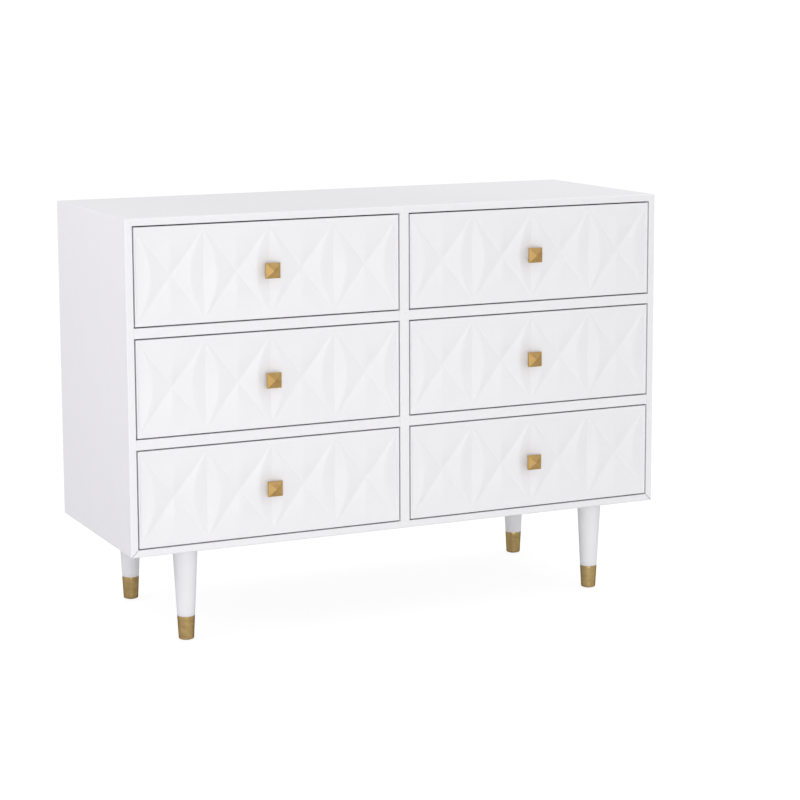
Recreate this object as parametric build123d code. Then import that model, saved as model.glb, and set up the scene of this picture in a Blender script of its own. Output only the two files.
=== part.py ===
from build123d import *
import os

# Six-drawer dresser: mitred case on four tapered legs with brass ferrules, two
# columns of three inset drawers with a shallow carved relief, square brass knobs.
# Units are millimetres. +X runs to the viewer's right along the front, the front
# faces -Y, +Z is up. The origin is on the floor, under the centre of the
# bounding box (which reaches from the knob tips to the back of the case).
# "left" and "right" are as seen by a person standing in front of the dresser.

# ---------------------------------------------------------------- dimensions
case_w = 1219.0          # overall width (48 in)
case_d = 457.0           # case depth (18 in)
case_h = 686.0           # case height (27 in)
floor_clear = 195.0      # floor to underside of the case
panel_t = 15.0           # outer panels
divider_t = 21.0         # centre partition and drawer rails
case_edge_r = 2.5        # softened outer arrises of the case
rail_d = 60.0            # depth of the front rails

drawer_gap = 3.0         # reveal round each inset front
front_t = 20.0           # drawer front thickness
relief_depth = 6.0       # deepest line of the carving
relief_cells = 4         # carved cells across one front
relief_border_x = 5.0    # plain border at the ends of a front
relief_border_z = 9.0    # plain border along top and bottom of a front
relief_wall = 1.6        # width of the short slope at the end borders
lens_w = 0.20            # half width of the leaf at mid height, in cells

box_clear = 3.0          # drawer box to case side
side_t = 15.0            # drawer box sides and back
box_h = 165.0            # height of the drawer box sides
box_lift = 8.0           # box bottom edge above the front's bottom edge
box_len = 410.0          # length of the drawer box behind the front
bottom_t = 6.0           # drawer bottom
bottom_up = 10.0         # drawer bottom above the side's lower edge
bottom_tongue = 5.0      # how far the bottom enters the grooves
groove_deep = 8.0        # runner groove in the drawer side
groove_high = 19.0
groove_mid = 95.0        # groove centre above the side's lower edge
drawer_travel = 300.0    # stroke of a drawer

runner_high = 18.4       # hardwood runner
runner_proud = 10.5      # how far it stands off the case side
runner_len = 400.0

back_t = 5.0             # back panel
back_lap = 8.0           # width of the rebate that takes the back panel

leg_inset_x = 132.0      # leg axis from the case side
leg_inset_y = 50.0       # leg axis from the case front and back
leg_top_d = 52.0
foot_d = 31.4
ferrule_top_z = 51.0
ferrule_wall = 1.2
glide_t = 1.5            # nylon glide under the ferrule

knob_side = 31.5         # square knob face
knob_edge = 4.5          # thickness of the plate's rim
knob_peak = 5.5          # height of the pyramid on the plate
knob_stem = 14.0         # length of the stem behind the plate
knob_stem_d = 12.0
knob_seat_d = 18.0       # flat round seat left in the carving for the knob

# ------------------------------------------------------------- derived places
knob_proj = knob_stem + knob_edge + knob_peak
total_d = case_d + knob_proj
y_front = -(total_d / 2 - knob_proj)       # plane of the case front and drawer fronts
y_back = y_front + case_d
z_bot = floor_clear
z_top = floor_clear + case_h
zi_bot = z_bot + panel_t
zi_top = z_top - panel_t
xi = case_w / 2 - panel_t                  # inner face of a side panel
open_w = (case_w - 2 * panel_t - divider_t) / 2
open_h = (case_h - 2 * panel_t - 2 * divider_t) / 3
front_w = open_w - 2 * drawer_gap
front_h = open_h - 2 * drawer_gap
box_w = open_w - 2 * box_clear

cols = {"left": -(divider_t / 2 + open_w / 2), "right": divider_t / 2 + open_w / 2}
rows = {"bottom": zi_bot, "middle": zi_bot + open_h + divider_t,
        "top": zi_bot + 2 * (open_h + divider_t)}

os.makedirs("parts", exist_ok=True)
written = []


def save(shape, name):
    export_step(shape, f"parts/{name}.step")
    written.append(name)


def block(x0, x1, y0, y1, z0, z1):
    return Pos((x0 + x1) / 2, (y0 + y1) / 2, (z0 + z1) / 2) * Box(x1 - x0, y1 - y0, z1 - z0)


def rod(x, y, z0, z1, d):
    return Pos(x, y, (z0 + z1) / 2) * Cylinder(d / 2, z1 - z0)


def csk_screw(d, head_d, length, grow=0.0):
    """Countersunk screw along -Z, head flush with z = 0."""
    head = Pos(0, 0, -(head_d - d) / 4) * Cone(d / 2 + grow, head_d / 2 + grow, (head_d - d) / 2)
    shank = Pos(0, 0, -length / 2) * Cylinder(d / 2 + grow, length)
    return head + shank


# -------------------------------------------------------------- mitred casing
outer = block(-case_w / 2, case_w / 2, y_front, y_back, z_bot, z_top)
outer = fillet(outer.edges(), case_edge_r)
cavity = block(-xi, xi, y_front - 5, y_back + 5, zi_bot, zi_top)
lap = panel_t - back_lap
rebate = block(-case_w / 2 + lap, case_w / 2 - lap, y_back - back_t, y_back + 5,
               z_bot + lap, z_top - lap)
shell = outer - cavity - rebate


def wedge(points):
    """Prism over the whole depth, bounded by the 45 degree mitre planes."""
    face = Plane.XZ * make_face(Polyline(*points, close=True))
    return extrude(Pos(0, y_back + 20, 0) * face, amount=case_d + 60)


e = 12.0
X, Zt, Zb = case_w / 2, z_top, z_bot
w_top = wedge([(-X - e, Zt + e), (X + e, Zt + e), (xi, zi_top), (-xi, zi_top)])
w_bot = wedge([(-X - e, Zb - e), (-xi, zi_bot), (xi, zi_bot), (X + e, Zb - e)])
w_left = wedge([(-X - e, Zt + e), (-xi, zi_top), (-xi, zi_bot), (-X - e, Zb - e)])
w_right = wedge([(X + e, Zt + e), (X + e, Zb - e), (xi, zi_bot), (xi, zi_top)])
top_panel = shell & w_top
bottom_panel = shell & w_bot
left_side_panel = shell & w_left
right_side_panel = shell & w_right

centre_partition = block(-divider_t / 2, divider_t / 2, y_front, y_back - back_t, zi_bot, zi_top)

back_panel = block(-case_w / 2 + lap, case_w / 2 - lap, y_back - back_t, y_back,
                   z_bot + lap, z_top - lap)

# screws that hold the back panel in its rebate and to the partition
edge_in = 4.0
bx = case_w / 2 - lap - edge_in
bz0, bz1 = z_bot + lap + edge_in, z_top - lap - edge_in
back_pts = [(x, z) for z in (bz0, bz1) for x in (-bx, -bx * 0.62, -bx * 0.28, bx * 0.28, bx * 0.62, bx)]
back_pts += [(x, bz0 + (bz1 - bz0) * k) for x in (-bx, 0.0, bx) for k in (0.25, 0.5, 0.75)]


def y_screw(x, z, y_head, length, d, head_d, grow=0.0):
    """Screw driven towards -Y with its head flush at y_head."""
    return Pos(x, y_head, z) * (Rot(-90, 0, 0) * csk_screw(d, head_d, length, grow))


back_screws = Compound(children=[y_screw(x, z, y_back, 18, 3.0, 6.0) for x, z in back_pts])
back_cut = [y_screw(x, z, y_back, 18.3, 3.0, 6.0, 0.05) for x, z in back_pts]
back_panel = back_panel - back_cut
top_panel = top_panel - [c for c, p in zip(back_cut, back_pts) if p[1] == bz1]
bottom_panel = bottom_panel - [c for c, p in zip(back_cut, back_pts) if p[1] == bz0]
left_side_panel = left_side_panel - [c for c, p in zip(back_cut, back_pts) if p[0] == -bx]
right_side_panel = right_side_panel - [c for c, p in zip(back_cut, back_pts) if p[0] == bx]
centre_partition = centre_partition - [c for c, p in zip(back_cut, back_pts) if p[0] == 0.0]

# ------------------------------------------------------------------ front rails
rail_z = {"lower": zi_bot + open_h, "upper": zi_bot + 2 * open_h + divider_t}
for rn, rz in rail_z.items():
    for cn, cx in cols.items():
        save(block(cx - open_w / 2, cx + open_w / 2, y_front, y_front + rail_d, rz, rz + divider_t),
             f"rail_{rn}_{cn}")

# ------------------------------------------------------- hardwood drawer runners
run_y0 = y_front + front_t + 0.5
run_screw_y = [run_y0 + 40, run_y0 + runner_len - 60]
runners, run_screws = [], []
side_cuts = {"left": [], "right": [], "part": []}
for rz in rows.values():
    zc = rz + drawer_gap + box_lift + groove_mid
    for cn, cx in cols.items():
        for s in (-1, 1):
            xw = cx + s * open_w / 2                 # wall that carries the runner
            xr = xw - s * runner_proud               # its free face
            strip = block(min(xw, xr), max(xw, xr), run_y0, run_y0 + runner_len,
                          zc - runner_high / 2, zc + runner_high / 2)
            long_edges = strip.edges().filter_by(Axis.Y)
            free = [ed for ed in long_edges if abs(ed.center().X - xr) < 0.01]
            strip = chamfer(free, 1.0)
            for ys in run_screw_y:
                place = Pos(xr, ys, zc) * Rot(0, -90 * s, 0)
                run_screws.append(place * csk_screw(3.5, 7.0, 19.0))
                cut = place * csk_screw(3.5, 7.0, 19.3, 0.05)
                strip = strip - cut
                if abs(xw) < 50:
                    side_cuts["part"].append(cut)
                else:
                    side_cuts["left" if xw < 0 else "right"].append(cut)
            runners.append(strip)
left_side_panel = left_side_panel - side_cuts["left"]
right_side_panel = right_side_panel - side_cuts["right"]
centre_partition = centre_partition - side_cuts["part"]
save(Compound(children=runners), "drawer_runners")
save(Compound(children=run_screws), "runner_screws")

# --------------------------------------------------------------- legs and feet
lx, ly = case_w / 2 - leg_inset_x, leg_inset_y
leg_pts = {"front_left": (-lx, y_front + ly), "front_right": (lx, y_front + ly),
           "rear_left": (-lx, y_back - ly), "rear_right": (lx, y_back - ly)}


def leg_r(z):
    """Radius of the continuous taper from the case down to the foot."""
    return (foot_d + (leg_top_d - foot_d) * z / floor_clear) / 2


def turned(profile):
    """Solid of revolution about Z from (radius, z) points."""
    face = Plane.XZ * make_face(Polyline(*profile, close=True))
    return revolve(face, Axis.Z, 360)


tenon_r = leg_r(glide_t) - ferrule_wall - 0.6
fit = 0.05
plug_r = 2.9
# turned leg: cone above the ferrule, tapered tenon inside it, blind holes at both ends
leg = turned([(0, glide_t + ferrule_wall + 0.2), (leg_r(glide_t) - ferrule_wall - 0.8, glide_t + ferrule_wall + 0.2),
              (leg_r(ferrule_top_z) - ferrule_wall - fit, ferrule_top_z), (leg_r(ferrule_top_z), ferrule_top_z),
              (leg_r(floor_clear), floor_clear), (0, floor_clear)])
leg = leg - rod(0, 0, floor_clear - 46, floor_clear + 1, 8.1) - rod(0, 0, 0, 10.0, 2 * plug_r + 0.1)
# brass ferrule: drawn cup that carries the leg's taper on to the foot
ferrule = turned([(plug_r + 0.05, glide_t), (leg_r(glide_t) - 2.0, glide_t), (leg_r(glide_t) - 0.6, glide_t + 0.6),
                  (leg_r(glide_t + 2.0), glide_t + 2.0),
                  (leg_r(ferrule_top_z - 0.3), ferrule_top_z - 0.3), (leg_r(ferrule_top_z) - ferrule_wall, ferrule_top_z - 0.3),
                  (leg_r(glide_t) - ferrule_wall - 0.7, glide_t + ferrule_wall), (plug_r + 0.05, glide_t + ferrule_wall)])
glide = turned([(0, 0), (10.0, 0), (11.0, 0.5), (11.0, glide_t), (plug_r, glide_t), (plug_r, 8.0), (0, 8.0)])
hanger = rod(0, 0, floor_clear - 45, zi_bot, 8.0)
tee_r, tee_flange_r, tee_flange_t, tee_len = 5.0, 11.0, 1.5, 10.0
tee = (rod(0, 0, zi_bot - tee_len, zi_bot, 2 * tee_r) + rod(0, 0, zi_bot, zi_bot + tee_flange_t, 2 * tee_flange_r)
       - rod(0, 0, zi_bot - tee_len - 1, zi_bot + 5, 8.1))
glides, hangers, tees = [], [], []
for ln, (px, py) in leg_pts.items():
    save(Pos(px, py, 0) * leg, f"leg_{ln}")
    save(Pos(px, py, 0) * ferrule, f"ferrule_{ln}")
    glides.append(Pos(px, py, 0) * glide)
    hangers.append(Pos(px, py, 0) * hanger)
    tees.append(Pos(px, py, 0) * tee)
    bottom_panel = bottom_panel - rod(px, py, z_bot - 1, zi_bot + 1, 8.4) - rod(px, py, zi_bot - tee_len - 0.1, zi_bot + 1, 2 * tee_r + 0.1)
save(Compound(children=glides), "floor_glides")
save(Compound(children=hangers), "leg_hanger_bolts")
save(Compound(children=tees), "leg_tee_nuts")

save(top_panel, "top_panel")
save(bottom_panel, "bottom_panel")
save(left_side_panel, "left_side_panel")
save(right_side_panel, "right_side_panel")
save(centre_partition, "centre_partition")
save(back_panel, "back_panel")
save(back_screws, "back_panel_screws")

# --------------------------------------------------------- carved drawer front
# The carving is four equal cells. In a cell, grooves run along both upright
# boundaries and along both diagonals; the crests are two arcs that bow in from
# the boundaries (half leaves) and the upright centre line above and below the
# crossing. Every line runs out to nothing at the corners of the cell.
cell_w = (front_w - 2 * relief_border_x) / relief_cells
rel_h = (front_h - 2 * relief_border_z) / 2
levels = [-1.0, -0.8, -0.6, -0.4, -0.2, 0.0, 0.2, 0.4, 0.6, 0.8, 1.0]


def row_points(u):
    """Break points of the carving across one cell, as (fraction of cell, depth)."""
    v = abs(u)
    a = lens_w * (1 - v * v)
    g = 0.5 * (1 - v)
    d_edge = relief_depth * (1 - v ** 1.5)
    d_diag = relief_depth * (1 - v) ** 0.8
    d_mid = relief_depth * max(0.0, 1 - v / 0.4) ** 1.3
    if v > 0.999:
        return [(0, 0), (0, 0), (0, 0), (0.5, 0), (1, 0), (1, 0), (1, 0)]
    if v < 0.001:
        return [(0, d_edge), (a, 0), (0.5, relief_depth), (0.5, relief_depth), (0.5, relief_depth), (1 - a, 0), (1, d_edge)]
    return [(0, d_edge), (a, 0), (g, d_diag), (0.5, d_mid), (1 - g, d_diag), (1 - a, 0), (1, d_edge)]


def front_solid():
    """Drawer front with lower left rear corner datum: x 0..front_w, y 0 (face)..front_t, z 0..front_h."""
    grid = []
    for u in levels:
        z = front_h / 2 + u * rel_h
        row = [(relief_border_x - relief_wall, 0.0, z)]
        for c in range(relief_cells):
            pts = row_points(u)
            for k, (fx, dp) in enumerate(pts):
                if c > 0 and k == 0:
                    continue
                row.append((relief_border_x + (c + fx) * cell_w, dp, z))
        row.append((front_w - relief_border_x + relief_wall, 0.0, z))
        grid.append(row)
    tris = []

    def tri(p, q, r):
        def same(s, t):
            return max(abs(s[i] - t[i]) for i in range(3)) < 1e-6
        if not (same(p, q) or same(q, r) or same(p, r)):
            tris.append((p, q, r))

    for j in range(len(levels) - 1):
        lo, hi = grid[j], grid[j + 1]
        for i in range(len(lo) - 1):
            # the shared diagonal of each strip leans with the carving's own lines
            if levels[j] < -0.001:
                tri(lo[i], lo[i + 1], hi[i + 1])
                tri(lo[i], hi[i + 1], hi[i])
            else:
                tri(lo[i], lo[i + 1], hi[i])
                tri(lo[i + 1], hi[i + 1], hi[i])
    # plain border round the carving
    b0, b1 = grid[0], grid[-1]

    def uniq(row):
        out = []
        for p in row:
            if not out or max(abs(out[-1][i] - p[i]) for i in range(3)) > 1e-6:
                out.append(p)
        return out

    A, B = (0.0, 0.0, 0.0), (front_w, 0.0, 0.0)
    C, D = (front_w, 0.0, front_h), (0.0, 0.0, front_h)
    polys = [[A, B] + list(reversed(uniq(b0))),
             [D] + uniq(b1) + [C],
             [A] + [r[0] for r in grid] + [D],
             [B, C] + [r[-1] for r in reversed(grid)]]
    A2, B2, C2, D2 = [(p[0], front_t, p[2]) for p in (A, B, C, D)]
    polys += [[A, B, B2, A2], [B, C, C2, B2], [C, D, D2, C2], [D, A, A2, D2], [A2, B2, C2, D2]]
    faces = [Face(Wire.make_polygon([Vector(*p) for p in t])) for t in tris]
    faces += [Face(Wire.make_polygon([Vector(*p) for p in t])) for t in polys]
    return Solid(Shell(faces))


front = front_solid()
# flat round seat for the knob, screw hole and the groove for the drawer bottom
fc = (front_w / 2, front_h / 2)
seat = Pos(fc[0], 5.0, fc[1]) * (Rot(90, 0, 0) * Cylinder(knob_seat_d / 2, 10.0))
front = front + seat
front = front - Pos(fc[0], front_t / 2, fc[1]) * (Rot(90, 0, 0) * Cylinder(2.25, front_t + 4))
groove_z = box_lift + bottom_up
front = front - block((front_w - box_w) / 2 + side_t - bottom_tongue, front_w - (front_w - box_w) / 2 - side_t + bottom_tongue,
                      front_t - bottom_tongue, front_t + 1, groove_z - 0.1, groove_z + bottom_t + 0.1)

# --------------------------------------------------------------------- knob
# local frame: stem starts at y = 0 on the front and the pyramid points to -Y
hs = knob_side / 2
stem = Pos(0, -knob_stem / 2, 0) * (Rot(90, 0, 0) * Cylinder(knob_stem_d / 2, knob_stem))
foot_ring = Pos(0, -1.0, 0) * (Rot(90, 0, 0) * Cylinder(7.5, 2.0))
plate = chamfer(block(-hs, hs, -knob_stem - knob_edge, -knob_stem, -hs, hs).edges().filter_by(Axis.Y), 0.6)
peak_base = Pos(0, -knob_stem - knob_edge, 0) * (Plane.XZ * Rectangle(knob_side - 1.6, knob_side - 1.6))
peak = loft([peak_base.face() if hasattr(peak_base, "face") else peak_base,
             (Pos(0, -knob_stem - knob_edge - knob_peak, 0) * (Plane.XZ * Rectangle(0.6, 0.6))).face()])
knob = stem + foot_ring + plate + peak
knob = knob - Pos(0, -6.0, 0) * (Rot(90, 0, 0) * Cylinder(2.05, 12.0))
screw_head = Pos(0, front_t + 1.25, 0) * (Rot(90, 0, 0) * Cylinder(4.2, 2.5))
screw_shank = Pos(0, (front_t - 10.0) / 2, 0) * (Rot(90, 0, 0) * Cylinder(2.0, front_t + 10.0))
knob_screw = screw_head + screw_shank

# --------------------------------------------------------------- drawer boxes
# local frame: x 0 at the drawer's middle, y 0 at the front's face, z 0 at the front's lower edge
y0 = front_t
y1 = front_t + box_len
hx = box_w / 2
zb = box_lift
side = block(hx - side_t, hx, y0, y1, zb, zb + box_h)
side = side - block(hx - groove_deep, hx + 1, y0 - 1, y1 + 1,
                    zb + groove_mid - groove_high / 2, zb + groove_mid + groove_high / 2)
side = side - block(hx - side_t - 1, hx - side_t + bottom_tongue, y0 - 1, y1 + 1,
                    zb + bottom_up - 0.1, zb + bottom_up + bottom_t + 0.1)
top_edges = side.edges().filter_by(Axis.Y).group_by(Axis.Z)[-1]
side = fillet(top_edges, 2.0)
side_right = side
side_left = mirror(side, Plane.YZ)
bottom = block(-hx + side_t - bottom_tongue + 0.2, hx - side_t + bottom_tongue - 0.2,
               y0 - bottom_tongue + 0.2, y1 - 1.0, zb + bottom_up, zb + bottom_up + bottom_t)
rear = block(-hx + side_t, hx - side_t, y1 - side_t, y1, zb + bottom_up + bottom_t, zb + box_h - 8.0)
rear_top = rear.edges().filter_by(Axis.X).group_by(Axis.Z)[-1]
rear = fillet(rear_top, 2.0)

for rn, rz in rows.items():
    for cn, cx in cols.items():
        place = Pos(cx, y_front, rz + drawer_gap)
        n = f"{rn}_{cn}_drawer"
        save(place * Pos(-front_w / 2, 0, 0) * front, f"{n}_front")
        save(place * side_left, f"{n}_side_left")
        save(place * side_right, f"{n}_side_right")
        save(place * rear, f"{n}_back")
        save(place * bottom, f"{n}_bottom")
        kp = place * Pos(0, 0, front_h / 2)
        save(Compound(children=[kp * knob, kp * knob_screw]), f"{n}_knob")

print(len(written), "nodes")
print("overall", case_w, total_d, z_top)
print("opening", open_w, open_h, "front", front_w, front_h, "box", box_w)
print("y_front", y_front, "y_back", y_back)
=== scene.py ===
import bpy, bmesh, math
from mathutils import Vector, Matrix


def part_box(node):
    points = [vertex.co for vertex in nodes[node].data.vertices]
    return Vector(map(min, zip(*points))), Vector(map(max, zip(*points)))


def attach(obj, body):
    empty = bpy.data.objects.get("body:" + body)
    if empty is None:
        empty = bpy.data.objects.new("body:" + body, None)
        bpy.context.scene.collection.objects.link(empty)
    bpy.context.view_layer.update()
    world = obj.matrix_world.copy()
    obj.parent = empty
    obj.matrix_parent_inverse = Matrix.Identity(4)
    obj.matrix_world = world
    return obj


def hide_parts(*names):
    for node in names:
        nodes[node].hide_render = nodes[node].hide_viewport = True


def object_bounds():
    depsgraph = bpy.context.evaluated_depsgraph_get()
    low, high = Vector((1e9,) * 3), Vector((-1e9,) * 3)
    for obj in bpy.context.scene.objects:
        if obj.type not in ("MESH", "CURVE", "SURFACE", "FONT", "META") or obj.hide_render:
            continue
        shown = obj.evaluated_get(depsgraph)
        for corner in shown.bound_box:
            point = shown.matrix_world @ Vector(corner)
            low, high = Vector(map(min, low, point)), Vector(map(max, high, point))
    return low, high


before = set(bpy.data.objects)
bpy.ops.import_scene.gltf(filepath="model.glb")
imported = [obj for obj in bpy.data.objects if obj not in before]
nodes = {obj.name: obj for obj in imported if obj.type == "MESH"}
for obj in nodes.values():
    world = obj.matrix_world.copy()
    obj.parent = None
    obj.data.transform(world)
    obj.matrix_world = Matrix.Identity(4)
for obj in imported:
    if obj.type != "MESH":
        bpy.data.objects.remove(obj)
cad_lo, cad_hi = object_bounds()
MM = 0.001


# ============================================================ node helpers
class Graph:
    """A small builder for a node material."""

    def __init__(self, name):
        self.mat = bpy.data.materials.new(name)
        self.mat.use_nodes = True
        self.t = self.mat.node_tree
        self.t.nodes.clear()
        self.out = self.t.nodes.new("ShaderNodeOutputMaterial")
        self.bsdf = self.t.nodes.new("ShaderNodeBsdfPrincipled")
        self.t.links.new(self.bsdf.outputs[0], self.out.inputs["Surface"])
        tc = self.t.nodes.new("ShaderNodeTexCoord")
        info = self.t.nodes.new("ShaderNodeObjectInfo")
        shift = self.t.nodes.new("ShaderNodeVectorMath")
        shift.operation = "MULTIPLY"
        self.link(info.outputs["Random"], shift.inputs[0])
        shift.inputs[1].default_value = (7.3, 3.1, 5.7)
        place = self.t.nodes.new("ShaderNodeVectorMath")
        place.operation = "ADD"
        self.link(tc.outputs["Object"], place.inputs[0])
        self.link(shift.outputs[0], place.inputs[1])
        self.pos = place.outputs[0]
        self.raw = tc.outputs["Object"]

    def link(self, a, b):
        self.t.links.new(a, b)

    def put(self, socket, value):
        self.bsdf.inputs[socket].default_value = value

    def mapped(self, scale, source=None, rot=(0, 0, 0)):
        m = self.t.nodes.new("ShaderNodeMapping")
        m.inputs["Scale"].default_value = scale
        m.inputs["Rotation"].default_value = rot
        self.link(source or self.pos, m.inputs["Vector"])
        return m.outputs[0]

    def noise(self, scale, detail=3.0, rough=0.5, vec=None, distortion=0.0):
        n = self.t.nodes.new("ShaderNodeTexNoise")
        n.inputs["Scale"].default_value = scale
        n.inputs["Detail"].default_value = detail
        n.inputs["Roughness"].default_value = rough
        n.inputs["Distortion"].default_value = distortion
        self.link(vec or self.pos, n.inputs["Vector"])
        return n.outputs["Fac"]

    def voronoi(self, scale, vec=None, feature="F1", out="Distance"):
        n = self.t.nodes.new("ShaderNodeTexVoronoi")
        n.feature = feature
        n.inputs["Scale"].default_value = scale
        self.link(vec or self.pos, n.inputs["Vector"])
        return n.outputs[out]

    def wave(self, scale, vec, distortion, detail=2.0, dscale=1.0, direction="X"):
        n = self.t.nodes.new("ShaderNodeTexWave")
        n.bands_direction = direction
        n.inputs["Scale"].default_value = scale
        n.inputs["Distortion"].default_value = distortion
        n.inputs["Detail"].default_value = detail
        n.inputs["Detail Scale"].default_value = dscale
        self.link(vec, n.inputs["Vector"])
        return n.outputs["Fac"]

    def ramp(self, fac, stops):
        r = self.t.nodes.new("ShaderNodeValToRGB")
        e = r.color_ramp.elements
        e[0].position, e[0].color = stops[0][0], (*stops[0][1], 1)
        e[1].position, e[1].color = stops[-1][0], (*stops[-1][1], 1)
        for p, c in stops[1:-1]:
            n = e.new(p)
            n.color = (*c, 1)
        self.link(fac, r.inputs["Fac"])
        return r.outputs["Color"]

    def span(self, fac, a, b, lo, hi):
        m = self.t.nodes.new("ShaderNodeMapRange")
        m.inputs["From Min"].default_value = a
        m.inputs["From Max"].default_value = b
        m.inputs["To Min"].default_value = lo
        m.inputs["To Max"].default_value = hi
        self.link(fac, m.inputs["Value"])
        return m.outputs["Result"]

    def math(self, op, a, b=None, c=None):
        m = self.t.nodes.new("ShaderNodeMath")
        m.operation = op
        for i, v in enumerate((a, b, c)):
            if v is None:
                continue
            if isinstance(v, (int, float)):
                m.inputs[i].default_value = v
            else:
                self.link(v, m.inputs[i])
        return m.outputs[0]

    def mix(self, fac, a, b, mode="MIX"):
        m = self.t.nodes.new("ShaderNodeMix")
        m.data_type = "RGBA"
        m.blend_type = mode
        for key, v in (("Factor", fac), ("A", a), ("B", b)):
            idx = {"Factor": 0, "A": 6, "B": 7}[key]
            if isinstance(v, (int, float)):
                m.inputs[idx].default_value = v
            elif isinstance(v, tuple):
                m.inputs[idx].default_value = (*v, 1)
            else:
                self.link(v, m.inputs[idx])
        return m.outputs[2]

    def bump(self, height, strength, distance, after=None):
        b = self.t.nodes.new("ShaderNodeBump")
        b.inputs["Strength"].default_value = strength
        b.inputs["Distance"].default_value = distance
        self.link(height, b.inputs["Height"])
        if after is not None:
            self.link(after, b.inputs["Normal"])
        return b.outputs["Normal"]

    def color(self, socket):
        self.link(socket, self.bsdf.inputs["Base Color"])

    def rough(self, socket):
        self.link(socket, self.bsdf.inputs["Roughness"])

    def normal(self, socket):
        self.link(socket, self.bsdf.inputs["Normal"])


# ============================================================ materials
def lacquer(name, tone=0.80):
    """Sprayed satin lacquer: nearly neutral white, orange peel, uneven gloss."""
    g = Graph(name)
    cloud = g.noise(2.3, 4, 0.55)
    fine = g.noise(60, 3, 0.6)
    both = g.math("MULTIPLY_ADD", fine, 0.25, g.math("MULTIPLY", cloud, 0.75))
    g.color(g.ramp(both, [(0.30, (tone - 0.012, tone - 0.018, tone)), (0.50, (tone, tone - 0.006, tone + 0.012)),
                          (0.70, (tone + 0.008, tone + 0.003, tone + 0.018))]))
    g.rough(g.span(g.noise(14, 4, 0.6), 0.3, 0.7, 0.46, 0.57))
    peel = g.noise(420, 2, 0.5)
    drag = g.noise(26, 2, 0.5)
    n = g.bump(drag, 0.10, 0.0006)
    n = g.bump(peel, 0.14, 0.00006, n)
    g.normal(n)
    g.put("IOR", 1.46)
    g.put("Specular IOR Level", 0.42)
    return g.mat


def hardboard(name):
    """White-faced backing board: matt, slightly fibrous."""
    g = Graph(name)
    fibre = g.noise(240, 4, 0.65, g.mapped((1, 1, 0.35)), 0.4)
    cloud = g.noise(5, 3, 0.5)
    f = g.math("MULTIPLY_ADD", fibre, 0.5, g.math("MULTIPLY", cloud, 0.5))
    g.color(g.ramp(f, [(0.30, (0.690, 0.690, 0.680)), (0.52, (0.735, 0.735, 0.727)), (0.72, (0.765, 0.765, 0.760))]))
    g.rough(g.span(fibre, 0.3, 0.7, 0.55, 0.72))
    g.normal(g.bump(fibre, 0.25, 0.0001))
    g.put("Specular IOR Level", 0.3)
    return g.mat


def wood(name, axis, dark, mid, light, gap=0.010, rough=(0.46, 0.62), flecks=0.0):
    """Planed hardwood with the grain along one axis."""
    g = Graph(name)
    k = 0.045
    stretch = {"X": (k, 1, 1), "Y": (1, k, 1), "Z": (1, 1, k)}[axis]
    v = g.mapped(stretch)
    broad = g.noise(16, 3, 0.55, v, 0.6)
    across = "Z" if axis != "Z" else "X"
    rings = g.wave(1.0 / gap / 2, v, 5.5, 3, 1.4, across)
    fine = g.noise(330, 4, 0.6, v, 0.2)
    pores = g.noise(900, 2, 0.5, g.mapped(tuple(s * (0.4 if s < 1 else 1) for s in stretch)))
    f = g.math("MULTIPLY_ADD", rings, 0.34, g.math("MULTIPLY", broad, 0.52))
    f = g.math("MULTIPLY_ADD", fine, 0.30, f)
    col = g.ramp(f, [(0.28, dark), (0.52, mid), (0.78, light)])
    pore = g.ramp(pores, [(0.34, (0.62, 0.55, 0.46)), (0.42, (1, 1, 1))])
    col = g.mix(0.45, col, pore, "MULTIPLY")
    if flecks:
        dash = g.voronoi(190, g.mapped(tuple(0.10 if s < 1 else 1.0 for s in stretch)))
        col = g.mix(flecks, col, g.ramp(dash, [(0.10, (0.45, 0.30, 0.20)), (0.22, (1, 1, 1))]), "MULTIPLY")
    g.color(col)
    g.rough(g.span(fine, 0.3, 0.7, *rough))
    g.normal(g.bump(fine, 0.22, 0.00012, g.bump(broad, 0.12, 0.0005)))
    g.put("Specular IOR Level", 0.35)
    return g.mat


def plywood(name):
    """Birch ply: face grain on the broad faces, glued layers on the edges."""
    g = Graph(name)
    v = g.mapped((0.05, 1, 1))
    broad = g.noise(9, 4, 0.55, v, 1.6)
    fine = g.noise(300, 3, 0.6, v)
    f = g.math("MULTIPLY_ADD", fine, 0.3, g.math("MULTIPLY", broad, 0.7))
    face = g.ramp(f, [(0.30, (0.50, 0.36, 0.21)), (0.50, (0.62, 0.47, 0.30)), (0.70, (0.70, 0.56, 0.38))])
    sep = g.t.nodes.new("ShaderNodeSeparateXYZ")
    g.link(g.raw, sep.inputs[0])
    layer = g.math("PINGPONG", g.math("MULTIPLY", sep.outputs["Z"], 1000.0), 1.2)
    edge = g.ramp(g.math("MULTIPLY_ADD", g.noise(150, 3), 0.5, g.math("MULTIPLY", layer, 0.6)),
                  [(0.30, (0.30, 0.19, 0.10)), (0.52, (0.52, 0.38, 0.23)), (0.80, (0.66, 0.52, 0.35))])
    geo = g.t.nodes.new("ShaderNodeNewGeometry")
    sn = g.t.nodes.new("ShaderNodeSeparateXYZ")
    g.link(geo.outputs["True Normal"], sn.inputs[0])
    flat = g.math("GREATER_THAN", g.math("ABSOLUTE", sn.outputs["Z"]), 0.6)
    g.color(g.mix(flat, edge, face))
    g.rough(g.span(fine, 0.3, 0.7, 0.48, 0.62))
    g.normal(g.bump(fine, 0.2, 0.0001))
    g.put("Specular IOR Level", 0.35)
    return g.mat


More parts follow.
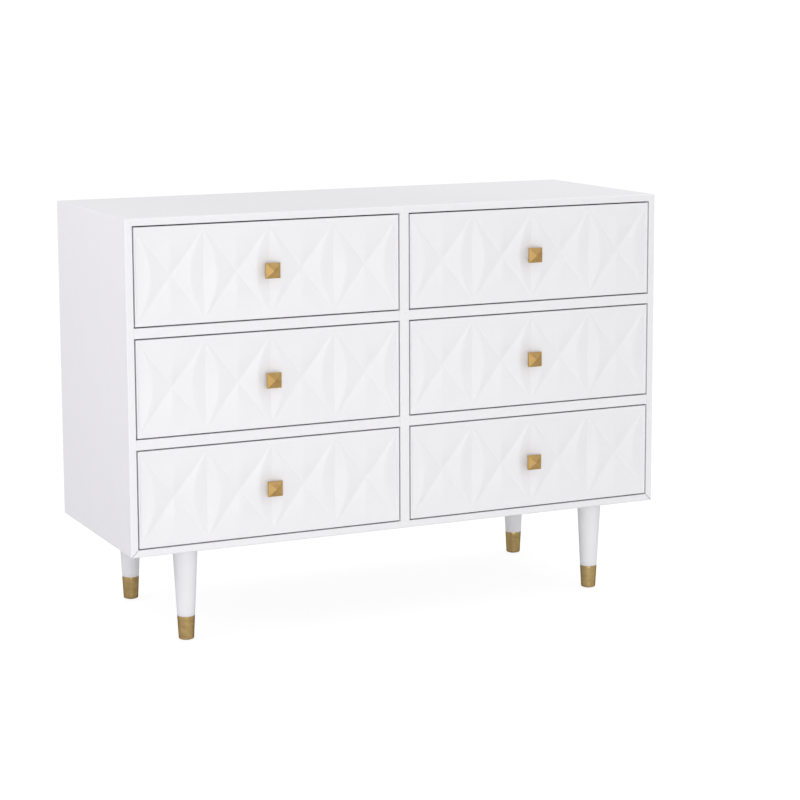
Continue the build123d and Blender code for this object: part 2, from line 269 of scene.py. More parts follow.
def brass(name, dark, mid, light, brush, rough=(0.34, 0.48), edge=(0.62, 0.50, 0.34)):
    """Antiqued satin brass: cloudy tarnish, fine brushing, unevenly dulled."""
    g = Graph(name)
    cloud = g.noise(85, 4, 0.6, None, 0.5)
    wide = g.noise(24, 2, 0.5)
    lines = g.noise(260, 3, 0.6, g.mapped(brush))
    f = g.math("MULTIPLY_ADD", cloud, 0.45, g.math("MULTIPLY", wide, 0.30))
    f = g.math("MULTIPLY_ADD", lines, 0.25, f)
    g.color(g.ramp(f, [(0.34, dark), (0.50, mid), (0.66, light)]))
    g.rough(g.span(g.math("MULTIPLY_ADD", lines, 0.5, g.math("MULTIPLY", cloud, 0.5)), 0.35, 0.65, *rough))
    n = g.bump(lines, 0.16, 0.00005)
    g.normal(g.bump(cloud, 0.10, 0.0002, n))
    g.put("Metallic", 1.0)
    g.put("Specular Tint", (*edge, 1))
    return g.mat


def zinc(name):
    """Zinc-plated steel with a faint crystal pattern."""
    g = Graph(name)
    cells = g.voronoi(900, None, "F1", "Color")
    grey = g.t.nodes.new("ShaderNodeRGBToBW")
    g.link(cells, grey.inputs[0])
    cloud = g.noise(120, 3)
    f = g.math("MULTIPLY_ADD", grey.outputs[0], 0.4, g.math("MULTIPLY", cloud, 0.6))
    g.color(g.ramp(f, [(0.25, (0.47, 0.48, 0.49)), (0.50, (0.58, 0.59, 0.60)), (0.75, (0.68, 0.68, 0.67))]))
    g.rough(g.span(cloud, 0.3, 0.7, 0.28, 0.44))
    g.normal(g.bump(cloud, 0.15, 0.00005))
    g.put("Metallic", 1.0)
    return g.mat


def nylon(name):
    """Off-white moulded nylon, scuffed underneath."""
    g = Graph(name)
    cloud = g.noise(160, 4, 0.6)
    g.color(g.ramp(cloud, [(0.30, (0.62, 0.61, 0.57)), (0.55, (0.72, 0.71, 0.68)), (0.75, (0.78, 0.77, 0.74))]))
    g.rough(g.span(cloud, 0.3, 0.7, 0.42, 0.60))
    g.normal(g.bump(g.noise(700, 2), 0.2, 0.00005))
    return g.mat


def backdrop(name):
    """Pale paper sweep: it returns soft light to the furniture, and shows near white with a faint shadow."""
    g = Graph(name)
    cloud = g.noise(0.8, 2, 0.5)
    g.color(g.ramp(cloud, [(0.3, (0.205, 0.205, 0.205)), (0.7, (0.215, 0.215, 0.215))]))
    g.put("Roughness", 0.9)
    g.put("Specular IOR Level", 0.0)
    g.put("Emission Color", (1, 1, 1, 1))
    g.put("Emission Strength", 0.855)
    paper = g.t.nodes.new("ShaderNodeBsdfDiffuse")
    g.link(g.ramp(cloud, [(0.3, (0.71, 0.71, 0.71)), (0.7, (0.74, 0.74, 0.74))]), paper.inputs["Color"])
    path = g.t.nodes.new("ShaderNodeLightPath")
    both = g.t.nodes.new("ShaderNodeMixShader")
    g.link(path.outputs["Is Camera Ray"], both.inputs[0])
    g.link(paper.outputs[0], both.inputs[1])
    g.link(g.bsdf.outputs[0], both.inputs[2])
    g.link(both.outputs[0], g.out.inputs["Surface"])
    return g.mat


WHITE = lacquer("satin_white_lacquer")
# The legs get a copy of the case lacquer toned a touch darker: painted shade, as the legs stand in the shade under the
# case.
LEG_WHITE_SHADE_TONED = lacquer("satin_white_leg_shade_toned", 0.79)
BACK = hardboard("white_backing_board")
SIDE_WOOD = wood("drawer_side_wood", "Y", (0.47, 0.33, 0.19), (0.60, 0.45, 0.28), (0.69, 0.55, 0.37))
REAR_WOOD = wood("drawer_rear_wood", "X", (0.47, 0.33, 0.19), (0.60, 0.45, 0.28), (0.69, 0.55, 0.37))
PLY = plywood("birch_plywood")
BEECH = wood("beech_runner_wood", "Y", (0.42, 0.25, 0.14), (0.53, 0.34, 0.20), (0.60, 0.41, 0.26), 0.006, (0.38, 0.52), 0.35)
KNOB_BRASS = brass("antiqued_brass_knob", (0.42, 0.268, 0.094), (0.535, 0.358, 0.141), (0.63, 0.435, 0.190), (1, 1, 0.05), (0.54, 0.68))
# The ferrule's near-black edge tint darkens its reflections at grazing angles: painted shade standing in for dark
# surroundings reflected at the rim. Its tarnished base colours are the brass's own.
FERRULE_BRASS = brass("antiqued_brass_ferrule_painted_dark_rim", (0.45, 0.308, 0.121), (0.555, 0.392, 0.169), (0.65, 0.470, 0.215), (0.05, 0.05, 1),
                      (0.27, 0.38), (0.16, 0.12, 0.07))
ZINC = zinc("zinc_plated_steel")
NYLON = nylon("moulded_nylon")


# ============================================================ mesh helpers
def new_piece(name, mesh, mat, body, stands_for, loc=None, sharp=32.0, weighted=True):
    ob = bpy.data.objects.new(name, mesh)
    bpy.context.scene.collection.objects.link(ob)
    if not mesh.materials:
        mesh.materials.append(mat)
    for p in mesh.polygons:
        p.use_smooth = True
    mesh.set_sharp_from_angle(angle=math.radians(sharp))
    if loc is not None:
        ob.location = loc
    if weighted:
        w = ob.modifiers.new("weighted_normal", "WEIGHTED_NORMAL")
        w.keep_sharp = True
        w.weight = 60
    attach(ob, body)
    if stands_for:
        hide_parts(*stands_for)
    return ob


def finish_mesh(bm, name, merge=2e-6):
    bmesh.ops.remove_doubles(bm, verts=bm.verts, dist=merge)
    bmesh.ops.dissolve_degenerate(bm, edges=bm.edges, dist=1e-7)
    bmesh.ops.recalc_face_normals(bm, faces=bm.faces)
    me = bpy.data.meshes.new(name)
    bm.to_mesh(me)
    bm.free()
    return me


def lathe(bm, profile, segs, place=None):
    """Closed solid of revolution about Z; profile is (radius, z) from axis to axis."""
    place = place or Matrix.Identity(4)
    rings = []
    for r, z in profile:
        if r < 1e-7:
            rings.append([bm.verts.new(place @ Vector((0, 0, z)))])
        else:
            rings.append([bm.verts.new(place @ Vector((r * math.cos(2 * math.pi * k / segs), r * math.sin(2 * math.pi * k / segs), z)))
                          for k in range(segs)])
    for a, b in zip(rings, rings[1:]):
        for k in range(segs):
            j = (k + 1) % segs
            ring = []
            for v in (a[k % len(a)], a[j % len(a)], b[j % len(b)], b[k % len(b)]):
                if v not in ring:
                    ring.append(v)
            if len(ring) > 2:
                bm.faces.new(ring)
    return rings


def arc(cx, cz, r, a0, a1, n):
    """Points (x, z) on an arc, angles in degrees."""
    return [(cx + r * math.cos(math.radians(a0 + (a1 - a0) * i / n)), cz + r * math.sin(math.radians(a0 + (a1 - a0) * i / n)))
            for i in range(n + 1)]


def islands(node):
    """Bounding boxes and vertices of the separate bodies in one CAD node."""
    bm = bmesh.new()
    bm.from_mesh(nodes[node].data)
    bmesh.ops.remove_doubles(bm, verts=bm.verts, dist=1e-6)
    seen, out = set(), []
    for v in bm.verts:
        if v.index in seen:
            continue
        stack, part = [v], []
        seen.add(v.index)
        while stack:
            q = stack.pop()
            part.append(q.co.copy())
            for e in q.link_edges:
                o = e.other_vert(q)
                if o.index not in seen:
                    seen.add(o.index)
                    stack.append(o)
        lo = Vector((min(p.x for p in part), min(p.y for p in part), min(p.z for p in part)))
        hi = Vector((max(p.x for p in part), max(p.y for p in part), max(p.z for p in part)))
        out.append((lo, hi, part))
    bm.free()
    return out


def cross_head(bm, rim, z, place, arm, half, deep, cone=0.55):
    """Fills a screw head's top, inside a ring of vertices, with a cross-shaped recess."""
    pts = []
    for q in range(4):
        c, s = math.cos(q * math.pi / 2), math.sin(q * math.pi / 2)
        for x, y in ((arm, -half), (arm, half), (half, half)):
            pts.append((c * x - s * y, s * x + c * y))
    top = [bm.verts.new(place @ Vector((x, y, z))) for x, y in pts]
    low = [bm.verts.new(place @ Vector((x * cone, y * cone, z - deep))) for x, y in pts]
    ang = [math.atan2(y, x) % (2 * math.pi) for x, y in pts]
    order = sorted(range(12), key=lambda i: ang[i])
    n = len(rim)
    i = j = 0
    while i < 12 or j < n:
        a_next = ang[order[(i + 1) % 12]] + (2 * math.pi if i + 1 >= 12 else 0)
        b_next = 2 * math.pi * (j + 1) / n
        if j >= n or (i < 12 and a_next < b_next):
            bm.faces.new((top[order[i % 12]], rim[j % n], top[order[(i + 1) % 12]]))
            i += 1
        else:
            bm.faces.new((rim[j % n], rim[(j + 1) % n], top[order[i % 12]]))
            j += 1
    for k in range(12):
        m = (k + 1) % 12
        bm.faces.new((top[k], top[m], low[m], low[k]))
    bm.faces.new(low)


def open_lathe_then_cross(bm, profile, segs, place, z, arm, half, deep):
    """A turned body whose last ring is closed by a cross recess."""
    rings = lathe(bm, profile, segs, place)
    cross_head(bm, rings[-1], z, place, arm, half, deep)


# ============================================================ case panels
cl, ch = cad_lo, cad_hi
lp_lo, lp_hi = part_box("left_side_panel")
rp_lo, rp_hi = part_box("right_side_panel")
tp_lo, tp_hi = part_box("top_panel")
bp_lo, bp_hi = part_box("bottom_panel")
bk_lo, bk_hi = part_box("back_panel")
YF, YB = tp_lo.y, tp_hi.y
T = tp_hi.z - tp_lo.z                    # panel thickness
LAP = tp_hi.z - bk_hi.z                  # rebate starts this deep in the panel
BT = bk_hi.y - bk_lo.y                   # back panel thickness
R = 2.5 * MM                             # outer arris
E = 0.3 * MM                             # eased inner arris


def panel_profile():
    pts = []
    pts += [(R - R * math.cos(math.radians(a)), YF + R - R * math.sin(math.radians(a))) for a in (0, 15, 30, 45, 60, 75, 90)]
    pts += [(T - E + E * math.sin(math.radians(a)), YF + E - E * math.cos(math.radians(a))) for a in (0, 30, 60, 90)]
    pts += [(T, YF + 70 * MM), (T, YB - BT - 0.3 * MM), (T - 0.3 * MM, YB - BT), (LAP, YB - BT)]
    pts += [(LAP, YB - 0.4 * MM), (LAP - 0.4 * MM, YB)]
    pts += [(R - R * math.sin(math.radians(a)), YB - R + R * math.cos(math.radians(a))) for a in (0, 15, 30, 45, 60, 75, 90)]
    pts += [(0.0, YF + 70 * MM)]
    return pts


def mitre_panel(name, half, to_world, groove_a, groove_b, body="case"):
    """One side of the mitred case. half is half the panel's outer length. to_world(along, depth, y) places a point.
    groove_a and groove_b are the half widths of the open line at the mitre on the front, at the + and - ends."""
    prof = panel_profile()
    bm = bmesh.new()
    amax = R * (1 - math.cos(math.radians(45)))
    main = half - T - 4 * MM
    steps = [0, 9, 18, 27, 36, 45]

    def end_rings(sign, groove):
        rings = [[(sign * main, d, y) for d, y in prof]]
        for a in steps:
            s = a / 45.0
            ring = []
            for d, y in prof:
                if d < amax - 1e-9:
                    ring.append((sign * (half - R + R * math.sin(math.radians(a))), max(d, R * (1 - math.cos(math.radians(a)))), y))
                else:
                    start = main + 1 * MM
                    ring.append((sign * (start + (half - d - groove - start) * s), d, y))
            rings.append(ring)
        # the mitre faces part a little behind the front face, which leaves a fine dark line
        cap = []
        for d, y in prof:
            if d < amax - 1e-9:
                cap.append((sign * (half - amax), amax, y if y > YF + R else y + 0.05 * MM))
            else:
                cap.append((sign * (half - d), d, max(y, YF + (3.0 * MM if groove > 0.3 * MM else groove))))
        rings.append(cap)
        return rings

    plus, minus = end_rings(1, groove_a), end_rings(-1, groove_b)
    allr = list(reversed(minus)) + plus
    vr = [[bm.verts.new(to_world(*p)) for p in ring] for ring in allr]
    n = len(prof)
    for a, b in zip(vr, vr[1:]):
        for k in range(n):
            j = (k + 1) % n
            bm.faces.new((a[k], a[j], b[j], b[k]))
    bm.faces.new(vr[0])
    bm.faces.new(list(reversed(vr[-1])))
    me = finish_mesh(bm, name)
    return me


HX = -lp_lo.x
ZC = (tp_hi.z + bp_lo.z) / 2
HZ = (tp_hi.z - bp_lo.z) / 2
LOW, HIGH = 0.95 * MM, 0.14 * MM
new_piece("case_top", mitre_panel("case_top", HX, lambda a, d, y: Vector((a, y, tp_hi.z - d)), HIGH, HIGH), WHITE, "case", ["top_panel"])
new_piece("case_bottom", mitre_panel("case_bottom", HX, lambda a, d, y: Vector((a, y, bp_lo.z + d)), LOW, LOW), WHITE, "case", ["bottom_panel"])
new_piece("case_side_left", mitre_panel("case_side_left", HZ, lambda a, d, y: Vector((-HX + d, y, ZC + a)), HIGH, LOW), WHITE, "case", ["left_side_panel"])
new_piece("case_side_right", mitre_panel("case_side_right", HZ, lambda a, d, y: Vector((HX - d, y, ZC + a)), HIGH, LOW), WHITE, "case", ["right_side_panel"])


def eased_box(name, lo, hi, r, segs=3):
    bm = bmesh.new()
    vs = [bm.verts.new((x, y, z)) for x in (lo.x, hi.x) for y in (lo.y, hi.y) for z in (lo.z, hi.z)]
    for f in ((0, 1, 3, 2), (4, 6, 7, 5), (0, 4, 5, 1), (2, 3, 7, 6), (0, 2, 6, 4), (1, 5, 7, 3)):
        bm.faces.new([vs[i] for i in f])
    bmesh.ops.bevel(bm, geom=list(bm.edges), offset=r, segments=segs, profile=0.5, affect="EDGES")
    return finish_mesh(bm, name)


lo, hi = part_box("centre_partition")
new_piece("case_partition", eased_box("case_partition", lo, hi, 0.32 * MM), WHITE, "case", ["centre_partition"])
for row in ("upper", "lower"):
    for col in ("left", "right"):
        lo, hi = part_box(f"rail_{row}_{col}")
        # the joint with the upright is a hairline: the rail's ends stand a touch short
        lo, hi = lo.copy(), hi.copy()
        lo.x += 0.10 * MM
        hi.x -= 0.10 * MM
        lo.y += 0.15 * MM
        new_piece(f"case_rail_{row}_{col}", eased_box(f"case_rail_{row}_{col}", lo, hi, 0.32 * MM), WHITE, "case", [f"rail_{row}_{col}"])

# ============================================================ carved drawer fronts
fl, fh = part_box("top_left_drawer_front")
FW, FT, FH = fh.x - fl.x, fh.y - fl.y, fh.z - fl.z
DEEP, CELLS, BX, BZ, WALL, LENS = 6 * MM, 4, 5 * MM, 9 * MM, 1.6 * MM, 0.20
CW = (FW - 2 * BX) / CELLS
RH = (FH - 2 * BZ) / 2
SOFT = 2.8 * MM                          # half width of the rounding at crests and creases


def carving_row(u):
    v = abs(u)
    a, gg = LENS * (1 - v * v), 0.5 * (1 - v)
    de, dd = DEEP * (1 - v ** 1.5), DEEP * (1 - v) ** 0.8
    dm = DEEP * max(0.0, 1 - v / 0.4) ** 1.3
    cell = [(0, de), (a, 0), (gg, dd), (0.5, dm), (1 - gg, dd), (1 - a, 0), (1, de)]
    line = [(0.9 * MM, 0.0), (BX - WALL, 0.0)]
    for c in range(CELLS):
        for i, (fx, d) in enumerate(cell):
            if c and i == 0:
                continue
            line.append((BX + (c + fx) * CW, d))
    line += [(FW - BX + WALL, 0.0), (FW - 0.9 * MM, 0.0)]
    return line


def soften(line):
    """Sample points along one row, close together near each break, with the breaks rounded."""
    cum = [0.0]
    for (x0, d0), (x1, d1) in zip(line, line[1:]):
        cum.append(cum[-1] + (x1 - x0) * (d0 + d1) / 2)

    def integral(x):
        if x <= line[0][0]:
            return 0.0
        if x >= line[-1][0]:
            return cum[-1]
        for i in range(len(line) - 1):
            x0, d0 = line[i]
            x1, d1 = line[i + 1]
            if x <= x1:
                if x1 - x0 < 1e-12:
                    return cum[i]
                t = x - x0
                return cum[i] + d0 * t + (d1 - d0) * t * t / (2 * (x1 - x0))
        return cum[-1]

    xs = [line[0][0]]
    for (x0, _), (x1, _) in zip(line, line[1:]):
        ln = x1 - x0
        n1, n2 = min(0.5 * SOFT, 0.10 * ln), min(SOFT, 0.22 * ln)
        xs += [x0 + n1, x0 + n2, (x0 + x1) / 2, x1 - n2, x1 - n1, x1]
    out = []
    for x in xs:
        h = min(SOFT, max(1.2 * MM, min(x, FW - x) - 4 * MM))      # crisper beside the two ends
        out.append((x, (integral(x + h) - integral(x - h)) / (2 * h)))
    return out


def front_mesh():
    bm = bmesh.new()
    rows = 84
    grid = []
    for j in range(rows + 1):
        u = -1 + 2 * j / rows
        z = FH / 2 + u * RH
        if j in (0, rows):
            pts = [(x, 0.0) for x, _ in soften(carving_row(u * 0.999))]
        else:
            pts = soften(carving_row(u))
        grid.append([bm.verts.new((x, max(0.0, d), z)) for x, d in pts])
    for a, b in zip(grid, grid[1:]):
        for i in range(len(a) - 1):
            bm.faces.new((a[i], a[i + 1], b[i + 1], b[i]))
    r = 0.4 * MM

    def loop(inset, y):
        return [bm.verts.new(p) for p in ((inset, y, inset), (FW - inset, y, inset), (FW - inset, y, FH - inset), (inset, y, FH - inset))]

    loops = [loop(r * (1 - math.sin(math.radians(t))), r * (1 - math.cos(math.radians(t)))) for t in (0, 22.5, 45, 67.5, 90)]
    loops.append(loop(0, FT - 0.6 * MM))
    loops.append(loop(0.6 * MM, FT))
    gl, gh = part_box("top_left_drawer_bottom")
    x0, x1 = gl.x - fl.x - 0.2 * MM, gh.x - fl.x + 0.2 * MM
    z0, z1 = gl.z - fl.z - 0.1 * MM, gh.z - fl.z + 0.1 * MM
    deep_y = gl.y - fl.y - 0.2 * MM
    pocket = [bm.verts.new(p) for p in ((x0, FT, z0), (x1, FT, z0), (x1, FT, z1), (x0, FT, z1))]
    floor = [bm.verts.new(p) for p in ((x0, deep_y, z0), (x1, deep_y, z0), (x1, deep_y, z1), (x0, deep_y, z1))]
    loops += [pocket, floor]
    for a, b in zip(loops, loops[1:]):
        for k in range(4):
            m = (k + 1) % 4
            bm.faces.new((a[k], a[m], b[m], b[k]))
    bm.faces.new(floor)
    A, B, C, D = loops[0]
    bm.faces.new([A, B] + list(reversed(grid[0])))
    bm.faces.new([C, D] + grid[-1])
    bm.faces.new([D, A] + [g[0] for g in grid])
    bm.faces.new([B, C] + [g[-1] for g in reversed(grid)])
    bmesh.ops.remove_doubles(bm, verts=bm.verts, dist=1.5e-5)
    # round seat that carries the knob
    seat = [(0.0, 7 * MM), (9 * MM, 7 * MM), (9 * MM, 0.45 * MM), (8.87 * MM, 0.13 * MM), (8.55 * MM, 0.0), (0.0, 0.0)]
    lathe(bm, seat, 48, Matrix.Translation((FW / 2, 0, FH / 2)) @ Matrix.Rotation(math.radians(-90), 4, "X"))
    return finish_mesh(bm, "carved_front", 1e-7)


FRONT = front_mesh()
DRAWERS = [(r, c) for r in ("top", "middle", "bottom") for c in ("left", "right")]
for r, c in DRAWERS:
    lo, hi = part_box(f"{r}_{c}_drawer_front")
    new_piece(f"{r}_{c}_carved_front", FRONT, WHITE, f"drawer_{r}_{c}", [f"{r}_{c}_drawer_front"], loc=lo, sharp=40)

# ============================================================ knobs
kl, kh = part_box("top_left_drawer_knob")


def knob_mesh():
    """Square plate with a low four-sided point, on a turned stem. Local origin on the front's face; +Z stands out."""
    bm = bmesh.new()
    h, st, rim, peak = 15.75 * MM, 14 * MM, 4.5 * MM, 5.5 * MM
    base = h - 0.8 * MM
    levels = [(h, st), (h, st + rim - 0.25 * MM), (base + 0.2 * MM, st + rim), (base, st + rim + 0.02 * MM)]
    rings = []
    for s, z in levels:
        rings.append([bm.verts.new((x, y, z)) for x, y in ((-s, -s), (s, -s), (s, s), (-s, s))])
    # the facets dish very slightly, as cast and polished ones do
    for k, (f, dz) in enumerate(((0.66, -0.10), (0.33, -0.10), (0.025, 0.0))):
        s = base * f
        z = st + rim + peak * (1 - f) + dz * MM
        rings.append([bm.verts.new((x, y, z)) for x, y in ((-s, -s), (s, -s), (s, s), (-s, s))])
    for a, b in zip(rings, rings[1:]):
        for k in range(4):
            m = (k + 1) % 4
            bm.faces.new((a[k], a[m], b[m], b[k]))
    bm.faces.new(list(reversed(rings[0])))
    bm.faces.new(rings[-1])
    bmesh.ops.recalc_face_normals(bm, faces=bm.faces)
    edges = [e for e in bm.edges if len(e.link_faces) == 2 and e.calc_face_angle(0) > math.radians(12)]
    bmesh.ops.bevel(bm, geom=edges, offset=0.28 * MM, segments=3, profile=0.5, affect="EDGES", clamp_overlap=True)
    stem = [(0, 0), (7.0 * MM, 0), (7.5 * MM, 0.4 * MM), (7.5 * MM, 1.5 * MM), (7.1 * MM, 2.0 * MM), (6.4 * MM, 2.3 * MM),
            (6.0 * MM, 3.0 * MM), (5.8 * MM, 7.0 * MM), (6.0 * MM, 11.6 * MM), (6.6 * MM, 13.0 * MM), (7.6 * MM, 13.8 * MM), (7.6 * MM, 14.6 * MM), (0, 14.6 * MM)]
    lathe(bm, stem, 48)
    return finish_mesh(bm, "square_knob", 1e-7)


def knob_screw_mesh():
    """Pan-head screw behind the front, with its shank in the knob. Local +Z points out of the front."""
    bm = bmesh.new()
    ft = FT
    flip = Matrix.Rotation(math.pi, 4, "X")
    prof = [(0, -(ft + 10 * MM)), (1.6 * MM, -(ft + 10 * MM)), (2.0 * MM, -(ft + 9.5 * MM)), (2.0 * MM, -0.1 * MM), (2.2 * MM, 0.0), (4.1 * MM, 0.0), (4.2 * MM, 0.15 * MM),
            (4.2 * MM, 1.1 * MM), (4.0 * MM, 1.7 * MM), (3.5 * MM, 2.2 * MM), (2.9 * MM, 2.45 * MM)]
    # z = 0 is the back face of the front, the head is on the +Z side of this profile; then turned to face backwards
    place = Matrix.Translation((0, 0, -ft)) @ flip
    open_lathe_then_cross(bm, prof, 36, place, 2.5 * MM, 2.1 * MM, 0.45 * MM, 1.5 * MM)
    return finish_mesh(bm, "knob_screw", 1e-7)


KNOB, KSCREW = knob_mesh(), knob_screw_mesh()
for r, c in DRAWERS:
    lo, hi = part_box(f"{r}_{c}_drawer_knob")
    flo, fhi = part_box(f"{r}_{c}_drawer_front")
    at = Vector(((lo.x + hi.x) / 2, flo.y, (lo.z + hi.z) / 2))
    for nm, me, mat, sl in ((f"{r}_{c}_square_knob", KNOB, KNOB_BRASS, "brass"), (f"{r}_{c}_knob_screw", KSCREW, ZINC, "zinc_steel")):
        ob = bpy.data.objects.new(nm, me)
        bpy.context.scene.collection.objects.link(ob)
        if not me.materials:
            me.materials.append(mat)
            for p in me.polygons:
                p.use_smooth = True
            me.set_sharp_from_angle(angle=math.radians(34))
        ob.matrix_world = Matrix.Translation(at) @ Matrix.Rotation(math.radians(90), 4, "X")
        w = ob.modifiers.new("weighted_normal", "WEIGHTED_NORMAL")
        w.keep_sharp = True
        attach(ob, f"drawer_{r}_{c}")
        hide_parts(f"{r}_{c}_drawer_knob")

# ============================================================ legs and ferrules
for depth in ("front", "rear"):
    for side in ("left", "right"):
        lo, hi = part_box(f"leg_{depth}_{side}")
        cx, cy = (lo.x + hi.x) / 2, (lo.y + hi.y) / 2
        r_top = (hi.x - lo.x) / 2
        flo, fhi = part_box(f"ferrule_{depth}_{side}")
        r_joint = (fhi.x - flo.x) / 2
        z_top, z_joint, z_foot = hi.z, fhi.z + 0.3 * MM, flo.z
        slope = (r_top - 15.7 * MM) / z_top

        def rad(z):
            return 15.7 * MM + slope * z

        prof = [(0, lo.z), (rad(lo.z) - 2.2 * MM, lo.z), (rad(z_joint) - 1.4 * MM, z_joint - 1.0 * MM), (rad(z_joint) - 1.3 * MM, z_joint),
                (rad(z_joint) - 0.30 * MM, z_joint), (rad(z_joint + 0.35 * MM) - 0.05 * MM, z_joint + 0.35 * MM)]
        for i in range(1, 13):
            z = z_joint + 0.35 * MM + (z_top - z_joint - 0.35 * MM) * i / 12
            prof.append((rad(z), z))
        prof.append((0, z_top))
        bm = bmesh.new()
        lathe(bm, prof, 96, Matrix.Translation((cx, cy, 0)))
        me = finish_mesh(bm, f"turned_leg_{depth}_{side}")
        new_piece(f"turned_leg_{depth}_{side}", me, LEG_WHITE_SHADE_TONED, "case", [f"leg_{depth}_{side}"], sharp=40, weighted=False)

        c = 2.1 * MM
        fz, top = z_foot, fhi.z
        outer = [(rad(fz) - 2.0 * MM, fz)]
        outer += [(rad(fz + c) - c * 0.98 + c * 0.98 * math.sin(math.radians(a)), fz + c - c * math.cos(math.radians(a))) for a in (15, 30, 45, 60, 75, 90)]
        for i in range(1, 10):
            z = fz + c + (top - 0.4 * MM - fz - c) * i / 9
            outer.append((rad(z), z))
        outer += [(rad(top) - 0.08 * MM, top - 0.1 * MM), (rad(top) - 0.30 * MM, top), (rad(top) - 0.95 * MM, top)]
        wall = 1.2 * MM
        prof = [(3.0 * MM, fz)] + outer + [(rad(top) - wall, top - 0.3 * MM), (rad(fz) - wall - 0.7 * MM, fz + wall), (3.0 * MM, fz + wall), (3.0 * MM, fz)]
        bm = bmesh.new()
        lathe(bm, prof, 96, Matrix.Translation((cx, cy, 0)))
        me = finish_mesh(bm, f"brass_ferrule_{depth}_{side}")
        new_piece(f"brass_ferrule_{depth}_{side}", me, FERRULE_BRASS, "case", [f"ferrule_{depth}_{side}"], sharp=40, weighted=False)

# ============================================================ screws
def csk_profile(d, head_d, length):
    h = (head_d - d) / 2
    return [(0, -length), (0.35 * d / 2, -length + 0.4 * MM), (d / 2, -length + 2.6 * MM), (d / 2, -h), (head_d / 2, -0.18 * MM), (head_d / 2, -0.06 * MM), (head_d / 2 - 0.12 * MM, 0.0)]


bm = bmesh.new()
for lo, hi, part in islands("back_panel_screws"):
    head = (hi.x - lo.x)
    place = Matrix.Translation(((lo.x + hi.x) / 2, hi.y - 0.02 * MM, (lo.z + hi.z) / 2)) @ Matrix.Rotation(math.radians(-90), 4, "X") @ Matrix.Rotation(math.radians((lo.x * 7919 + lo.z * 3571) % 1 * 90), 4, "Z")
    open_lathe_then_cross(bm, csk_profile(3.0 * MM, head, hi.y - lo.y), 32, place, 0.0, 1.75 * MM, 0.36 * MM, 1.1 * MM)
new_piece("back_board_screws", finish_mesh(bm, "back_board_screws", 1e-7), ZINC, "case", ["back_panel_screws"], weighted=False)

bm = bmesh.new()
for lo, hi, part in islands("runner_screws"):
    zc, yc = (lo.z + hi.z) / 2, (lo.y + hi.y) / 2
    wide = {}
    for end in (lo.x, hi.x):
        near = [abs(p.z - zc) for p in part if abs(p.x - end) < 0.1 * MM]
        wide[end] = max(near) if near else 0
    s = 1 if wide[hi.x] > wide[lo.x] else -1
    end = hi.x if s > 0 else lo.x
    place = Matrix.Translation((end - s * 0.02 * MM, yc, zc)) @ Matrix.Rotation(math.radians(90 * s), 4, "Y") @ Matrix.Rotation(math.radians((lo.y * 7919 + lo.z * 3571 + lo.x * 977) % 1 * 90), 4, "Z")
    open_lathe_then_cross(bm, csk_profile(3.5 * MM, hi.z - lo.z, hi.x - lo.x), 32, place, 0.0, 2.0 * MM, 0.42 * MM, 1.3 * MM)
new_piece("runner_wood_screws", finish_mesh(bm, "runner_wood_screws", 1e-7), ZINC, "case", ["runner_screws"], weighted=False)


# ============================================================ CAD nodes that keep their shape
def keep(node, mat, ease, segs=2, angle=34):
    ob = nodes[node]
    if not ob.material_slots:
        ob.data.materials.append(mat)
    for s in ob.material_slots:
        s.material = mat
    w = ob.modifiers.new("weld", "WELD")
    w.merge_threshold = 1e-6
    if ease:
        d = ob.modifiers.new("join_flats", "DECIMATE")
        d.decimate_type = "DISSOLVE"
        d.angle_limit = math.radians(0.5)
        b = ob.modifiers.new("ease", "BEVEL")
        b.width = ease
        b.segments = segs
        b.limit_method = "ANGLE"
        b.angle_limit = math.radians(angle)
        b.use_clamp_overlap = True
        b.harden_normals = True
    return ob


keep("back_panel", BACK, 0.0)
for r, c in DRAWERS:
    keep(f"{r}_{c}_drawer_side_left", SIDE_WOOD, 0.6 * MM)
    keep(f"{r}_{c}_drawer_side_right", SIDE_WOOD, 0.6 * MM)
    keep(f"{r}_{c}_drawer_back", REAR_WOOD, 0.6 * MM)
    keep(f"{r}_{c}_drawer_bottom", PLY, 0.3 * MM)
keep("drawer_runners", BEECH, 0.4 * MM)
keep("floor_glides", NYLON, 0.0)
keep("leg_hanger_bolts", ZINC, 0.0)
keep("leg_tee_nuts", ZINC, 0.25 * MM)

# ============================================================ floor, light, camera
FLOOR = backdrop("white_sweep")
bm = bmesh.new()
n, size = 24, 60.0
pts = [[bm.verts.new(((i / n - 0.5) * size, (j / n - 0.5) * size, -0.0004)) for i in range(n + 1)] for j in range(n + 1)]
for j in range(n):
    for i in range(n):
        bm.faces.new((pts[j][i], pts[j][i + 1], pts[j + 1][i + 1], pts[j + 1][i]))
me = bpy.data.meshes.new("studio_floor")
bm.to_mesh(me)
bm.free()
me.materials.append(FLOOR)
floor = bpy.data.objects.new("studio_floor", me)
bpy.context.scene.collection.objects.link(floor)

scene = bpy.context.scene
scene.view_settings.view_transform = "Standard"
scene.view_settings.look = "None"
scene.view_settings.exposure = 0.0
scene.view_settings.gamma = 1.0

world = bpy.data.worlds.new("studio_world")
scene.world = world
world.use_nodes = True
wt = world.node_tree
wt.nodes.clear()
wo = wt.nodes.new("ShaderNodeOutputWorld")
seen_bg = wt.nodes.new("ShaderNodeBackground")
seen_bg.inputs["Color"].default_value = (1, 1, 1, 1)
seen_bg.inputs["Strength"].default_value = 1.05
lit_bg = wt.nodes.new("ShaderNodeBackground")
lit_bg.inputs["Color"].default_value = (0.995, 0.998, 1.0, 1)
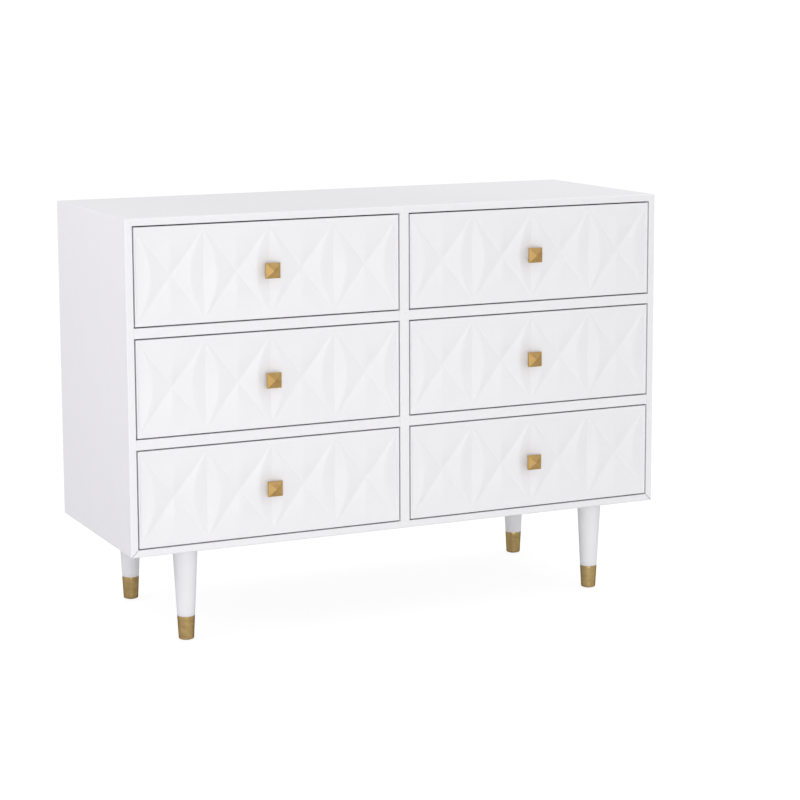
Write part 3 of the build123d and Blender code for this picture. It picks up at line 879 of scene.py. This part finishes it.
# the studio is brighter in front of the furniture than behind it
dirn = wt.nodes.new("ShaderNodeTexCoord")
dsep = wt.nodes.new("ShaderNodeSeparateXYZ")
wt.links.new(dirn.outputs["Generated"], dsep.inputs[0])
grad = wt.nodes.new("ShaderNodeMapRange")
grad.inputs["From Min"].default_value = -1.0
grad.inputs["From Max"].default_value = 1.0
grad.inputs["To Min"].default_value = 0.885
grad.inputs["To Max"].default_value = 0.71
wt.links.new(dsep.outputs["Y"], grad.inputs["Value"])
wt.links.new(grad.outputs["Result"], lit_bg.inputs["Strength"])
lp = wt.nodes.new("ShaderNodeLightPath")
wm = wt.nodes.new("ShaderNodeMixShader")
wt.links.new(lp.outputs["Is Camera Ray"], wm.inputs[0])
wt.links.new(lit_bg.outputs[0], wm.inputs[1])
wt.links.new(seen_bg.outputs[0], wm.inputs[2])
wt.links.new(wm.outputs[0], wo.inputs[0])


def area(name, loc, target, size, power, color=(1, 1, 1)):
    li = bpy.data.lights.new(name, "AREA")
    li.shape = "RECTANGLE"
    li.size, li.size_y = size
    li.energy = power
    li.color = color
    ob = bpy.data.objects.new(name, li)
    scene.collection.objects.link(ob)
    ob.location = loc
    ob.visible_camera = False
    ob.rotation_euler = (Vector(target) - Vector(loc)).to_track_quat("-Z", "Y").to_euler()
    return ob


area("key_left", (-1.15, -3.8, 0.56), (0.1, -0.2, 0.5), (2.0, 1.0), 41)
area("fill_left", (-2.3, -0.1, 1.7), (-0.6, 0.0, 0.7), (1.2, 1.2), 12.6, (0.95, 0.91, 1.0))
area("overhead", (2.2, 0.1, 3.2), (0.4, 0.0, 0.88), (2, 2), 27)

cam_data = bpy.data.cameras.new("camera")
cam = bpy.data.objects.new("camera", cam_data)
scene.collection.objects.link(cam)
cam_data.sensor_width = 36.0
cam_data.sensor_fit = "HORIZONTAL"
cam_data.lens = 102.337
cam_data.shift_x = 0.0
cam_data.shift_y = -0.10
cam_data.clip_start = 0.05
cam_data.clip_end = 200
cam_data.dof.use_dof = False
yaw, pitch, roll = math.radians(25.249), math.radians(-8.141), math.radians(-0.210)
fwd = Vector((math.sin(yaw) * math.cos(pitch), math.cos(yaw) * math.cos(pitch), math.sin(pitch)))
right = Vector((math.cos(yaw), -math.sin(yaw), 0.0))
up = right.cross(fwd)
r2 = right * math.cos(roll) + up * math.sin(roll)
u2 = -right * math.sin(roll) + up * math.cos(roll)
m = Matrix((r2, u2, -fwd)).transposed().to_4x4()
m.translation = Vector((-2.0217, -4.4813, 1.3162))
cam.matrix_world = m
scene.camera = cam
